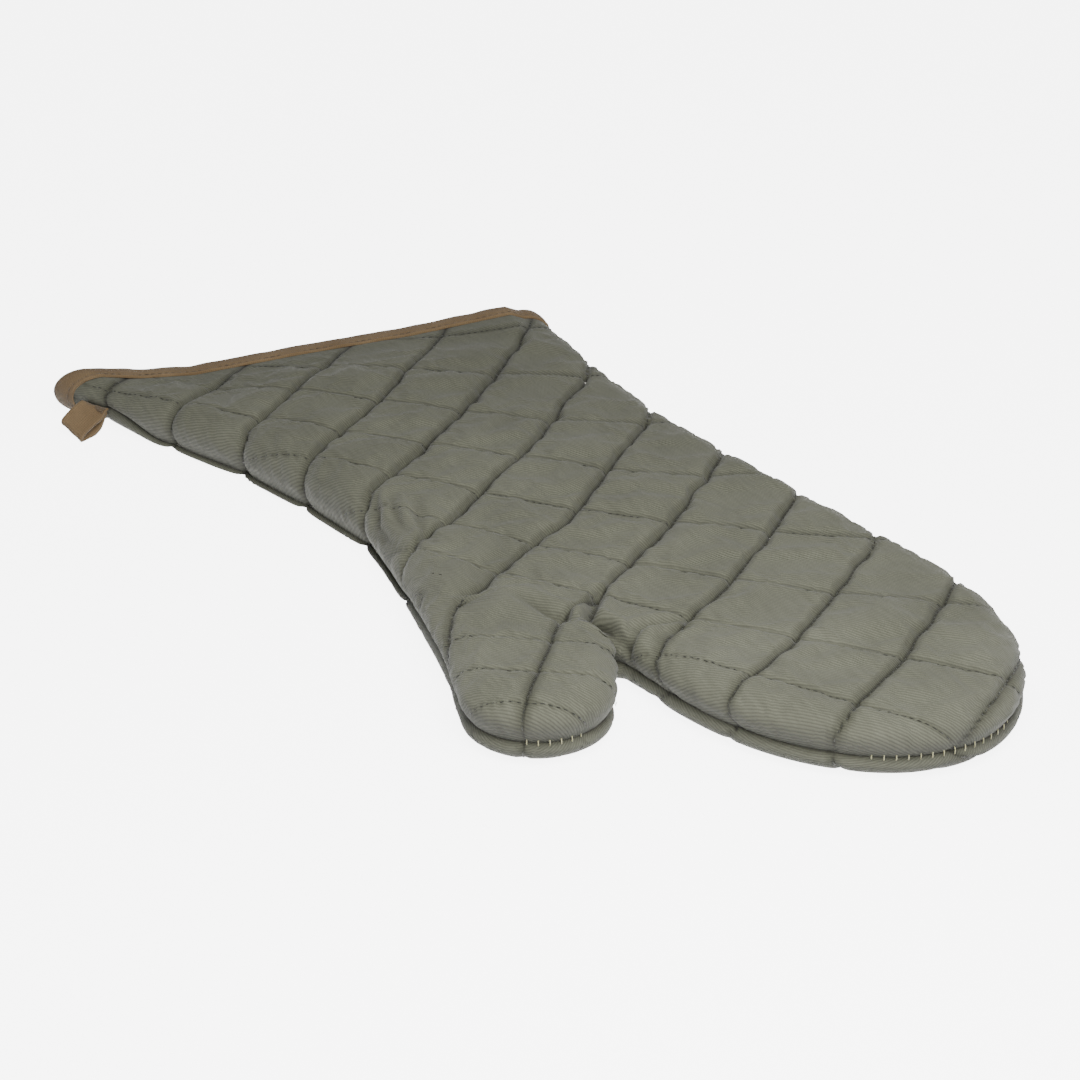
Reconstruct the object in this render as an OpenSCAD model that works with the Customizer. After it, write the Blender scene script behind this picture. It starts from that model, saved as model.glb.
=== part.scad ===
// Quilted oven mitt, lying palm up on its back panel.
// +X towards the thumb side, +Y towards the fingertips, +Z up from the surface it lies on.
// Each panel is a sandwich of outer cloth, batting and lining. Surface 0 is the outside of the
// sandwich, surface 3 its inside, and each layer is the solid between two neighbouring surfaces.

/* [Padding] */
// Height of the upper panel's face above the resting surface
mitt_h = 25; // [22:0.5:30]
// Height of the side seam above the resting surface
seam_z = 11; // [10:0.5:12]
// Roundness of the padded edge, measured in plan
edge_r = 12; // [11:0.5:15]
// Thickness of the outer cloth
cloth_t = 0.8; // [0.5:0.1:1.2]
// Thickness of the batting
batting_t = 6.5; // [4:0.5:7]
// Thickness of the lining
lining_t = 0.7; // [0.4:0.1:1]

/* [Mouth] */
// Height of the upper panel at the mouth
mouth_h = 20; // [18:0.5:24]
// Part of the padding's thickness that is left where it is sewn flat at the mouth
mouth_pinch = 0.5; // [0.4:0.05:0.7]
// Thickness of the binding tape
binding_t = 1.2; // [0.8:0.1:1.5]
// Depth of the binding along the cuff, as a part of the cuff and palm length
binding_depth = 0.036; // [0.025:0.001:0.038]

/* [Fingers] */
// Half the width of the finger pocket
finger_half_w = 70; // [66:1:72]
// Length of the rounded fingertip end
finger_cap = 101; // [80:1:105]
// Length of the straight stretch below the rounded end
finger_straight = 26; // [20:1:30]
// How far the fingertips lean away from the thumb
finger_lean = 3; // [0:1:8]

/* [Thumb] */
// Radius of the thumb's round end
thumb_r = 32; // [28:1:34]

/* [Hang loop] */
// Width of the loop's tape
tape_w = 12.5; // [8:0.5:14]
// Thickness of the loop's tape
tape_t = 1.5; // [1:0.1:2]
// Length of the loop out from the seam, from its sewn ends to its fold
loop_len = 12.4; // [11:0.2:13]
// Height of the loop where it is fullest
loop_h = 11; // [10:0.5:12]

/* [Quilting] */
// Side of the quilted squares
quilt_cell = 40; // [30:0.5:60]
// Direction of the first row of quilting lines
quilt_angle = 36; // [30:1:60]
// Width of a line of quilting thread
thread_w = 0.8; // [0.4:0.1:1.2]

/* [Hidden] */

// Colours
cloth_colour = [0.42, 0.43, 0.38];
batting_colour = [0.93, 0.92, 0.88];
lining_colour = [0.82, 0.80, 0.74];
tape_colour = [0.51, 0.42, 0.30];
seam_colour = [0.78, 0.76, 0.52];
quilting_colour = [0.20, 0.20, 0.15];

// Middle of the finished mitt in plan, which becomes the origin
middle = [33.75, 27.7];
// Gap left between parts that move against each other
hinge_gap = 0.3;
// Gap left between a thread or tape and the cloth under it
thread_gap = 0.15;
tape_gap = 0.06;
thread_t = 0.35;

// Seam line of the little-finger side, from the mouth to the knuckles
pinky_side = [[-80, -158], [-70, -100], [-64, -42], [-63, 17], [-67, 75], [-72, 134]];
// Seam line of the thumb side of the cuff, from the mouth to the root of the thumb
cuff_side = [[140, -203], [129, -152], [116, -101], [107, -50], [103, 1], [111, 52]];
// The thumb folds on the line from its outer root to the crotch, the fingers on the knuckle line
thumb_root = cuff_side[5];
crotch_thumb = [67, 132.5];
crotch_finger = [65, 134];
knuckle_y = crotch_finger[1];
fold_dir = unit(thumb_root - crotch_thumb);
fold_normal = [-fold_dir[1], fold_dir[0]];
// Points that the thumb outline passes between the fold line and its round end
thumb_inner = [71, 145];
thumb_outer = [126, 104];
thumb_centre = [107, 150];
finger_centre = [-6, knuckle_y + finger_straight];

// Depth of each surface below the outer one, where the padding is full
depths = [0, cloth_t, cloth_t + batting_t, cloth_t + batting_t + lining_t];
// Rows of the grid along the cuff and palm: the part up to the thumb's root, then the fold line
root_row = 0.757;
mouth_flat = 0.04;
mouth_ramp = 0.07;
palm_rows = [0, 0.018, mouth_flat, 0.075, 0.11, 0.2, 0.3, 0.4, 0.5, 0.6, 0.68, root_row,
             0.81, 0.87, 0.93, 0.985, 1];
finger_rows = [0, 0.1, 0.2, 0.32, 0.44, 0.56, 0.68, 0.78, 0.87, 0.94, 1];
thumb_rows = [0, 0.12, 0.24, 0.38, 0.52, 0.65, 0.77, 0.88, 0.95, 1];
// How much of the quarter circle the rounded ends take, which leaves a short flat tip
cap_sweep = 82;
// Steps round the padded edge, and flat columns between the two edges
edge_steps = 4;
flat_columns = 7;

function unit(v) = v / norm(v);
function mix(a, b, t) = a + (b - a) * t;
function clamp01(t) = min(1, max(0, t));
// Smooth curve through a list of points, t from 0 to 1
function curve(points, t) =
    let (last = len(points) - 1, s = min(last - 0.000001, max(0, t * last)), i = floor(s), f = s - i,
         b = points[i], c = points[i + 1],
         a = i > 0 ? points[i - 1] : 2 * b - c,
         d = i + 2 <= last ? points[i + 2] : 2 * c - b)
    0.5 * (2 * b + (c - a) * f + (2 * a - 5 * b + 4 * c - d) * f * f + (3 * b - 3 * c + d - a) * f * f * f);

// How full the padding is on a row of the cuff: 0 in the binding, 1 from a little way in
function fullness(u) = clamp01((u - mouth_flat) / mouth_ramp);
function depth(k, full) = depths[k] * mix(mouth_pinch, 1, full);

// Ends of row u of the cuff and palm, for a surface that lies d inside the outline
function palm_left(u, d) =
    u < 0 ? 2 * palm_left(0, d) - palm_left(-u, d)
    : let (l = curve(pinky_side, u), r = palm_right_edge(u)) l + d * unit(r - l);
function palm_right_edge(u) =
    u <= root_row ? curve(cuff_side, u / root_row)
    : u < 1 ? mix(thumb_root, crotch_thumb, (u - root_row) / (0.985 - root_row)) : crotch_finger;
function palm_right(u, d) =
    u < 0 ? 2 * palm_right(0, d) - palm_right(-u, d)
    : u < root_row ? let (l = curve(pinky_side, u), r = palm_right_edge(u)) r - d * unit(r - l)
    : u < 1 ? mix(thumb_root - d * fold_dir, crotch_thumb + d * fold_dir,
                  (u - root_row) / (0.985 - root_row))
    : crotch_finger - [d, 0];

// Ends of a row of the fingers: a straight stretch, then half an ellipse
function finger_split() = finger_rows[2];
function finger_end(side, u, d) =
    let (v = clamp01((u - finger_split()) / (1 - finger_split())), a = v * cap_sweep,
         low = side < 0 ? [-72 + d, knuckle_y + hinge_gap] : [65 - d, knuckle_y + hinge_gap],
         high = finger_centre + [side * (finger_half_w - d), 0])
    u <= finger_split() ? mix(low, high, u / finger_split())
    : finger_centre + [side * (finger_half_w - d) * cos(a) - finger_lean * v * v,
                       (finger_cap - d) * sin(a)];

// Ends of a row of the thumb: from the fold line to a round end along the thumb's own direction
thumb_dir = unit(thumb_centre - (thumb_root + crotch_thumb) / 2);
thumb_side = [thumb_dir[1], -thumb_dir[0]];
function thumb_split() = thumb_rows[4];
function thumb_end(side, u, d) =
    let (v = clamp01((u - thumb_split()) / (1 - thumb_split())), a = v * cap_sweep, r = thumb_r - d,
         inner = curve([crotch_thumb, thumb_inner, thumb_centre - thumb_r * thumb_side], u / thumb_split()),
         outer = curve([thumb_root, thumb_outer, thumb_centre + thumb_r * thumb_side], u / thumb_split()),
         across = unit(outer - inner))
    u == 0 ? (side < 0 ? crotch_thumb + d * fold_dir : thumb_root - d * fold_dir) + hinge_gap * fold_normal
    : u <= thumb_split() ? (side < 0 ? inner + d * across : outer - d * across)
    : thumb_centre + side * r * cos(a) * thumb_side + r * sin(a) * thumb_dir;

// The whole seam line in plan, from the mouth round the fingers and thumb back to the mouth
seam_line = concat(
    [for (u = palm_rows) curve(pinky_side, u)],
    [for (u = finger_rows) if (u > 0) finger_end(-1, u, 0)],
    [for (i = [len(finger_rows) - 1 : -1 : 1]) finger_end(1, finger_rows[i], 0)],
    [crotch_finger, crotch_thumb],
    [for (u = thumb_rows) if (u > 0) thumb_end(-1, u, 0)],
    [for (i = [len(thumb_rows) - 1 : -1 : 1]) thumb_end(1, thumb_rows[i], 0)],
    [for (i = [11 : -1 : 0]) curve(cuff_side, palm_rows[i] / root_row)]
);
function to_segment(p, a, b) =
    let (t = clamp01(((p - a) * (b - a)) / ((b - a) * (b - a)))) norm(p - mix(a, b, t));
function seam_distance(p) =
    min([for (i = [0 : len(seam_line) - 2]) to_segment(p, seam_line[i], seam_line[i + 1])]);

// Height of a surface at a point in plan: a quarter ellipse up from the seam, then flat.
// side is 1 for the upper panel and -1 for the lower one.
function rounding(p, d) =
    let (t = clamp01((seam_distance(p) - d) / (edge_r - d))) sqrt(1 - (1 - t) * (1 - t));
function panel_face(side, full) = side > 0 ? mix(mouth_h, mitt_h, full) : mix(binding_t, 0, full);
function surface_z(side, k, full, p) =
    let (d = depth(k, full), face = panel_face(side, full) - side * d)
    seam_z + (face - seam_z) * rounding(p, d);

// Places across a row of width w whose edges are rounded with radius r
function columns(w, r) = concat(
    [for (i = [0 : edge_steps - 1]) r * (1 - cos(90 * i / edge_steps))],
    [for (i = [0 : flat_columns]) mix(r, w - r, i / flat_columns)],
    [for (i = [edge_steps - 1 : -1 : 0]) w - r * (1 - cos(90 * i / edge_steps))]
);
column_count = 2 * edge_steps + flat_columns + 1;

// One row of a surface. sealed says which ends lie on the seam, and flat that the whole row does.
function row_points(side, k, full, left, right, sealed, flat) =
    let (w = norm(right - left), dir = unit(right - left), d = depth(k, full),
         places = columns(w, min(edge_r - d, w * 0.3)))
    [for (j = [0 : column_count - 1])
        let (p = left + places[j] * dir,
             on_seam = flat || (j == 0 && sealed[0]) || (j == column_count - 1 && sealed[1]))
        [p[0] - middle[0], p[1] - middle[1], on_seam ? seam_z : surface_z(side, k, full, p)]];

function palm_surface(side, k) = [for (u = palm_rows)
    let (full = fullness(u), d = depth(k, full))
    each row_points(side, k, full, palm_left(u, d), palm_right(u, d),
                    [true, u <= root_row || u > 0.98], false)];
function fingers_surface(side, k) = [for (u = finger_rows)
    each row_points(side, k, 1, finger_end(-1, u, depths[k]), finger_end(1, u, depths[k]),
                    [true, true], u == 1)];
function thumb_surface(side, k) = [for (u = thumb_rows)
    each row_points(side, k, 1, thumb_end(-1, u, depths[k]), thumb_end(1, u, depths[k]),
                    [true, true], u == 1)];

// Closed solid between two surfaces that share one grid of rows and columns. Its faces are listed
// from the last row back where tip_first is set.
module layer(outer, inner, side, tip_first) {
    cols = column_count;
    rows = len(outer) / cols;
    n = rows * cols;
    outside = [for (i = [0 : rows - 2], j = [0 : cols - 2])
        let (a = i * cols + j, b = a + 1, c = a + cols + 1, d = a + cols)
        each [[a, d, c], [a, c, b]]];
    inside = [for (f = outside) [f[0] + n, f[2] + n, f[1] + n]];
    rim = concat(
        [for (j = [0 : cols - 2]) [j, j + 1]],
        [for (i = [0 : rows - 2]) [i * cols + cols - 1, (i + 1) * cols + cols - 1]],
        [for (j = [cols - 1 : -1 : 1]) [(rows - 1) * cols + j, (rows - 1) * cols + j - 1]],
        [for (i = [rows - 1 : -1 : 1]) [i * cols, (i - 1) * cols]]
    );
    walls = [for (e = rim) each [[e[0], e[1], e[1] + n], [e[0], e[1] + n, e[0] + n]]];
    faces = tip_first
        ? concat([for (i = [len(outside) - 1 : -1 : 0]) outside[i]], inside, walls)
        : concat(walls, outside, inside);
    polyhedron(
        points = concat(outer, inner),
        faces = side > 0 ? faces : [for (f = faces) [f[0], f[2], f[1]]]
    );
}

// Closed tube of quadrilaterals through a list of rings, joined end to start when looped
module rings(sections, looped) {
    m = len(sections[0]);
    count = len(sections);
    last = looped ? count - 1 : count - 2;
    sides = [for (i = [0 : last], j = [0 : m - 1])
        let (a = i * m + j, b = i * m + (j + 1) % m, c = ((i + 1) % count) * m + (j + 1) % m,
             d = ((i + 1) % count) * m + j)
        each [[a, b, c], [a, c, d]]];
    ends = looped ? [] : [
        [for (j = [m - 1 : -1 : 0]) j],
        [for (j = [0 : m - 1]) (count - 1) * m + j]
    ];
    polyhedron(points = [for (s = sections) each s], faces = concat(sides, ends));
}

module palm_layer(side, k) {
    layer(palm_surface(side, k), palm_surface(side, k + 1), side, false);
}

module fingers_layer(side, k) {
    layer(fingers_surface(side, k), fingers_surface(side, k + 1), side, false);
}

module thumb_layer(side, k) {
    layer(thumb_surface(side, k), thumb_surface(side, k + 1), side, true);
}

// Ring of points round the mouth at row u, pushed out of the sandwich by extra.
// Surface 0 is pushed outwards and surface 3 into the hand space.
function mouth_ring(u, k, extra) =
    let (d = depth(k, 0), out = k == 0 ? extra : -extra,
         left = palm_left(u, d), right = palm_right(u, d), dir = unit(right - left),
         w = norm(right - left), places = columns(w, edge_r - d),
         half = column_count - 1)
    [for (side = [1, -1], i = [0 : half - 1])
        let (j = side > 0 ? i : half - i, t = places[j],
             p = left + t * dir,
             rise = j == 0 || j == half ? 0 : rounding(p, d),
             push = j == 0 ? -1 : j == half ? 1 : t < edge_r ? -sqrt(max(0, 1 - rise * rise))
                    : t > w - edge_r ? sqrt(max(0, 1 - rise * rise)) : 0,
             face = panel_face(side, 0) - side * d,
             z = seam_z + (face - seam_z) * rise)
        [p[0] + out * push * dir[0] - middle[0], p[1] + out * push * dir[1] - middle[1],
         z + side * out * rise]];

module cuff_binding() {
    lip = -0.005;
    fold = -0.001;
    loops = [
        mouth_ring(binding_depth, 0, binding_t), mouth_ring(lip, 0, binding_t),
        mouth_ring(lip, 3, binding_t), mouth_ring(binding_depth, 3, binding_t),
        mouth_ring(binding_depth, 3, tape_gap), mouth_ring(fold, 3, tape_gap),
        mouth_ring(fold, 0, tape_gap), mouth_ring(binding_depth, 0, tape_gap)
    ];
    color(tape_colour)
        rings([for (i = [0 : len(loops[0]) - 1]) [for (l = loops) l[i]]], true);
}

// Row of topstitching near the binding's inner edge
module binding_thread() {
    low = binding_depth * 0.8;
    high = low + 0.0025;
    loops = [
        mouth_ring(low, 0, binding_t + thread_gap), mouth_ring(high, 0, binding_t + thread_gap),
        mouth_ring(high, 0, binding_t + thread_t), mouth_ring(low, 0, binding_t + thread_t)
    ];
    upper = column_count - 1;
    color(quilting_colour)
        rings([for (i = [1 : upper - 1]) [for (l = loops) l[i]]], false);
}

// Run of seam thread that follows stretch first to last of the seam line
module seam_run(first, last) {
    half = thread_w / 2;
    stretch = [for (i = [first : last]) seam_line[i] - middle];
    count = len(stretch);
    color(seam_colour)
        rings([for (i = [0 : count - 1])
            let (t = unit(stretch[min(count - 1, i + 1)] - stretch[max(0, i - 1)]),
                 out = [-t[1], t[0]], a = stretch[i] + 0.01 * out, b = a + thread_t * out)
            [[a[0], a[1], seam_z - half], [b[0], b[1], seam_z - half],
             [b[0], b[1], seam_z + half], [a[0], a[1], seam_z + half]]], false);
}

// Quilting lines inside an outline in plan, laid on the height z and kept this far inside the outline
module quilting(outline, z, inset) {
    reach = 8;
    translate([0, 0, z])
        intersection() {
            linear_extrude(thread_t)
                offset(delta = -inset)
                    polygon(outline);
            translate([-7 - middle[0], 14 - middle[1], 0])
                for (turn = [quilt_angle, quilt_angle + 90], i = [-reach : reach])
                    rotate([0, 0, turn])
                        translate([-reach * quilt_cell, i * quilt_cell - thread_w / 2, 0])
                            cube([2 * reach * quilt_cell, thread_w, thread_t]);
        }
}

palm_outline = concat(
    [for (u = palm_rows) if (u > 0.1) palm_left(u, 0) - middle],
    [for (i = [len(palm_rows) - 1 : -1 : 4]) palm_right(palm_rows[i], 0) - middle]
);
fingers_outline = concat(
    [for (u = finger_rows) finger_end(-1, u, 0) - middle],
    [for (i = [len(finger_rows) - 1 : -1 : 0]) finger_end(1, finger_rows[i], 0) - middle]
);
thumb_outline = concat(
    [for (u = thumb_rows) thumb_end(-1, u, 0) - middle],
    [for (i = [len(thumb_rows) - 1 : -1 : 0]) thumb_end(1, thumb_rows[i], 0) - middle]
);

// The loop is sewn into the side seam just behind the binding, where the edge runs along edge_dir
loop_root = curve(cuff_side, 0.077) - middle;
edge_dir = unit(curve(cuff_side, 0.1) - curve(cuff_side, 0.05));
edge_turn = atan2(edge_dir[1], edge_dir[0]) - 90;
// The sewn ends leave the seam a little below it, and start this far along it from the root point
root_drop = 2;
root_along = 1;
// Clear distance between the loop and the seam it swings about
root_gap = 1.2;

// Local axes at the root: x out from the seam, y along the cuff's edge, z up
module at_loop_root() {
    translate([loop_root[0], loop_root[1], seam_z])
        rotate([0, 0, edge_turn])
            children();
}

// Side view of the loop: narrow at its sewn ends, round at its fold, which lies on the resting surface
module loop_outline(shrink) {
    fold_r = loop_h / 2;
    hull() {
        translate([loop_len - fold_r, fold_r + 0.1 - seam_z])
            circle(fold_r - shrink, $fn = 48);
        translate([tape_t + shrink, -root_drop])
            circle(tape_t - shrink / 2, $fn = 32);
    }
}

module hang_loop() {
    color(tape_colour)
        at_loop_root()
            translate([root_gap, root_along + tape_w, 0])
                rotate([90, 0, 0])
                    linear_extrude(tape_w)
                        difference() {
                            loop_outline(0);
                            loop_outline(tape_t);
                        }
}

// Dense stitching that holds the two ends of the loop together at the seam
module loop_bartack() {
    color(seam_colour)
        at_loop_root()
            translate([0.6, root_along, -0.5])
                cube([0.4, tape_w, 1]);
}

module palm_cloth_top() { color(cloth_colour) palm_layer(1, 0); }
module palm_batting_top() { color(batting_colour) palm_layer(1, 1); }
module palm_lining_top() { color(lining_colour) palm_layer(1, 2); }
module palm_cloth_bottom() { color(cloth_colour) palm_layer(-1, 0); }
module palm_batting_bottom() { color(batting_colour) palm_layer(-1, 1); }
module palm_lining_bottom() { color(lining_colour) palm_layer(-1, 2); }
module fingers_cloth_top() { color(cloth_colour) fingers_layer(1, 0); }
module fingers_batting_top() { color(batting_colour) fingers_layer(1, 1); }
module fingers_lining_top() { color(lining_colour) fingers_layer(1, 2); }
module fingers_cloth_bottom() { color(cloth_colour) fingers_layer(-1, 0); }
module fingers_batting_bottom() { color(batting_colour) fingers_layer(-1, 1); }
module fingers_lining_bottom() { color(lining_colour) fingers_layer(-1, 2); }
module thumb_cloth_top() { color(cloth_colour) thumb_layer(1, 0); }
module thumb_batting_top() { color(batting_colour) thumb_layer(1, 1); }
module thumb_lining_top() { color(lining_colour) thumb_layer(1, 2); }
module thumb_cloth_bottom() { color(cloth_colour) thumb_layer(-1, 0); }
module thumb_batting_bottom() { color(batting_colour) thumb_layer(-1, 1); }
module thumb_lining_bottom() { color(lining_colour) thumb_layer(-1, 2); }

// The seam line starts with the little-finger side of the palm and ends with the thumb side of the cuff
palm_points = len(palm_rows);
finger_points = 2 * (len(finger_rows) - 1);
thumb_points = 2 * (len(thumb_rows) - 1);
cuff_start = palm_points + finger_points + 2 + thumb_points;
module palm_seam_thread() {
    seam_run(3, palm_points - 1);
    seam_run(cuff_start, len(seam_line) - 4);
}
module fingers_seam_thread() { seam_run(palm_points, palm_points + finger_points - 1); }
module thumb_seam_thread() { seam_run(cuff_start - thumb_points, cuff_start - 1); }

// Quilting thread of the upper panel, on its face, and of the lower panel, on its inside
module upper_quilting(outline) {
    color(quilting_colour)
        quilting(outline, mitt_h, edge_r + 1);
}
module lower_quilting(outline) {
    color(quilting_colour)
        quilting(outline, depths[3] + thread_gap, edge_r + 10);
}
module palm_quilting_top() { upper_quilting(palm_outline); }
module fingers_quilting_top() { upper_quilting(fingers_outline); }
module thumb_quilting_top() { upper_quilting(thumb_outline); }
module palm_quilting_bottom() { lower_quilting(palm_outline); }
module fingers_quilting_bottom() { lower_quilting(fingers_outline); }
module thumb_quilting_bottom() { lower_quilting(thumb_outline); }

palm_cloth_top();
palm_batting_top();
palm_lining_top();
palm_cloth_bottom();
palm_batting_bottom();
palm_lining_bottom();
fingers_cloth_top();
fingers_batting_top();
fingers_lining_top();
fingers_cloth_bottom();
fingers_batting_bottom();
fingers_lining_bottom();
thumb_cloth_top();
thumb_batting_top();
thumb_lining_top();
thumb_cloth_bottom();
thumb_batting_bottom();
thumb_lining_bottom();
cuff_binding();
binding_thread();
hang_loop();
loop_bartack();
palm_seam_thread();
fingers_seam_thread();
thumb_seam_thread();
palm_quilting_top();
fingers_quilting_top();
thumb_quilting_top();
palm_quilting_bottom();
fingers_quilting_bottom();
thumb_quilting_bottom();
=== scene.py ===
"""Quilted oven mitt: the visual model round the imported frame, its camera and its light.

Lengths are in millimetres in the mitt's own plan (x to the thumb side, y to the fingertips) until a
mesh is made, when MIDDLE is taken off and they become metres of the row frame.
"""

import math

import bpy
import numpy as np
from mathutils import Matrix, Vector
from mathutils.geometry import delaunay_2d_cdt
from mathutils.kdtree import KDTree


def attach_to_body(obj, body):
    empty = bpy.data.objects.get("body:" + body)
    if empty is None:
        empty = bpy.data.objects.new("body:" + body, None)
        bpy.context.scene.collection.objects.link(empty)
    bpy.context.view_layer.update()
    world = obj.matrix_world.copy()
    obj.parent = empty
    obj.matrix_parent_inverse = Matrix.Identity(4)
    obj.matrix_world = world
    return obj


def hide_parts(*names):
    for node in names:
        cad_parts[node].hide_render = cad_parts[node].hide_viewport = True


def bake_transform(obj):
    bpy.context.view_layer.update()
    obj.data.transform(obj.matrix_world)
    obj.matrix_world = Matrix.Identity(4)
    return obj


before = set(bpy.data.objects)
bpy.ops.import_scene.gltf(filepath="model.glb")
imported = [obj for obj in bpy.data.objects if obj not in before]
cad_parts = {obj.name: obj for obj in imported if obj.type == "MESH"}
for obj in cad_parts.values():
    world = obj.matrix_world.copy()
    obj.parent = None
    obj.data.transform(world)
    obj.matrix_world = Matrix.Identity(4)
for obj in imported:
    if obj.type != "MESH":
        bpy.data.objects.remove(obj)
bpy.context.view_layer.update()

# ---------------- the mitt's own sizes
MIDDLE = np.array([33.75, 27.7])
# Heights of the side seam and of the upper panel's face, and how far in the panels' rounded edge goes
SEAM_Z, TOP_Z, EDGE_R = 11.0, 24.6, 12.0
# The two sets of quilting lines. Each has the number of its line at the plan's origin, the heading
# in which the lines follow one another, the distance between them, and how many lines the set has
# bent 100 mm away across the mitt, on the diagonal and along it.
CELL = 40.0
ROWS_A = {"first": 4.55, "heading": 128, "spacing": CELL, "bend": (0.20, 0.15, 0.03)}
ROWS_B = {"first": 2.80, "heading": 45, "spacing": 43.5, "bend": (0.90, 0.20, -0.03)}
# The thumb's cloth is turned against the palm's, in degrees about a point beside the crotch, and its
# second set of lines lies this many squares further on
THUMB_TURN, THUMB_SHIFT, TURN_CENTRE = -26, 0.28, np.array([71.0, 138.0])
# The outline: the cuff's two sides from the mouth to the knuckles and to the thumb's root, the
# crotch, the finger pocket's half ellipse and the thumb's round end
PINKY_SIDE = np.array([[-80, -158], [-70, -100], [-64, -42], [-63, 17], [-67, 75], [-72, 134]], float)
CUFF_SIDE = np.array([[147, -207], [128, -154], [111, -101], [102, -50], [99, 0], [111, 52]], float)
THUMB_ROOT = CUFF_SIDE[5]
CROTCH_THUMB, CROTCH_FINGER = np.array([72.5, 142.0]), np.array([70, 143.5])
FINGER_CENTRE = np.array([-2.0, 162.0])
FINGER_HALF_W, FINGER_CAP, FINGER_LEAN = 70.5, 100.0, 1.0
THUMB_CENTRE, THUMB_R = np.array([112.0, 153.0]), 29.5
THUMB_INNER, THUMB_OUTER = np.array([75.0, 150.0]), np.array([126.0, 104.0])


def unit(v):
    v = np.asarray(v, float)
    return v / np.linalg.norm(v)


THUMB_DIR = unit(THUMB_CENTRE - (THUMB_ROOT + CROTCH_THUMB) / 2)
THUMB_SIDE = np.array([THUMB_DIR[1], -THUMB_DIR[0]])
FOLD_DIR = unit(THUMB_ROOT - CROTCH_THUMB)
FOLD_NORMAL = np.array([-FOLD_DIR[1], FOLD_DIR[0]])
KNUCKLE_DIR = unit(CROTCH_FINGER - PINKY_SIDE[5])
KNUCKLE_NORMAL = np.array([-KNUCKLE_DIR[1], KNUCKLE_DIR[0]])
MOUTH_A, MOUTH_B = PINKY_SIDE[0], CUFF_SIDE[0]
MOUTH_DIR = unit(MOUTH_B - MOUTH_A)
MOUTH_IN = np.array([-MOUTH_DIR[1], MOUTH_DIR[0]])
MOUTH_W = np.linalg.norm(MOUTH_B - MOUTH_A)
# Thickness of each layer of a panel
CLOTH, BATTING, LINING = 0.8, 6.5, 0.7


def unit_rows(v):
    return v / np.maximum(np.linalg.norm(v, axis=1), 1e-12)[:, None]


def smooth(t):
    t = np.clip(t, 0, 1)
    return t * t * (3 - 2 * t)


def lengths(points):
    """Distance along a polyline to each of its points."""
    return np.concatenate([[0], np.cumsum(np.linalg.norm(np.diff(points, axis=0), axis=1))])


def sampled(t, s, rows):
    """The rows that belong to the growing numbers s, interpolated at t."""
    return np.stack([np.interp(t, s, column) for column in np.transpose(rows)], -1)


def turned(degrees):
    """Unit vectors that point in these directions."""
    r = np.radians(degrees)
    return np.stack([np.cos(r), np.sin(r)], -1)


def curve(points, t):
    """Catmull-Rom curve through points, t from 0 to 1 (and straight on past either end)."""
    t = np.atleast_1d(np.asarray(t, float))
    pts = np.vstack([2 * points[0] - points[1], points, 2 * points[-1] - points[-2]])
    last = len(points) - 1
    s = t * last
    i = np.clip(np.floor(s), 0, last - 1).astype(int)
    f = (s - i)[:, None]
    a, b, c, d = pts[i], pts[i + 1], pts[i + 2], pts[i + 3]
    mid = 0.5 * (2 * b + (c - a) * f + (2 * a - 5 * b + 4 * c - d) * f ** 2
                 + (3 * b - 3 * c + d - a) * f ** 3)
    start, end = points[0] + (c - a) / 2 * f, c + (d - b) / 2 * (f - 1)
    return np.where(t[:, None] < 0, start, np.where(t[:, None] > 1, end, mid))


FULL_TURN = 6.283


def waves(q, seed, length, count=9):
    """Smooth noise, about -1 to 1, with features of the given length."""
    draw = np.random.RandomState(seed)
    out = np.zeros(len(q))
    for _ in range(count):
        angle, phase, stretch = draw.rand() * FULL_TURN, draw.rand() * FULL_TURN, 0.7 + 0.9 * draw.rand()
        k = FULL_TURN / (length * stretch)
        out += np.sin(k * (q[:, 0] * math.cos(angle) + q[:, 1] * math.sin(angle)) + phase)
    return out / math.sqrt(count)


# ---------------- plan: outline and mesh
# Points round the crotch, and how far from a fixed end the cloth's direction goes on turning
CROTCH_POINTS, TILT_REACH = 14, 30


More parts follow.
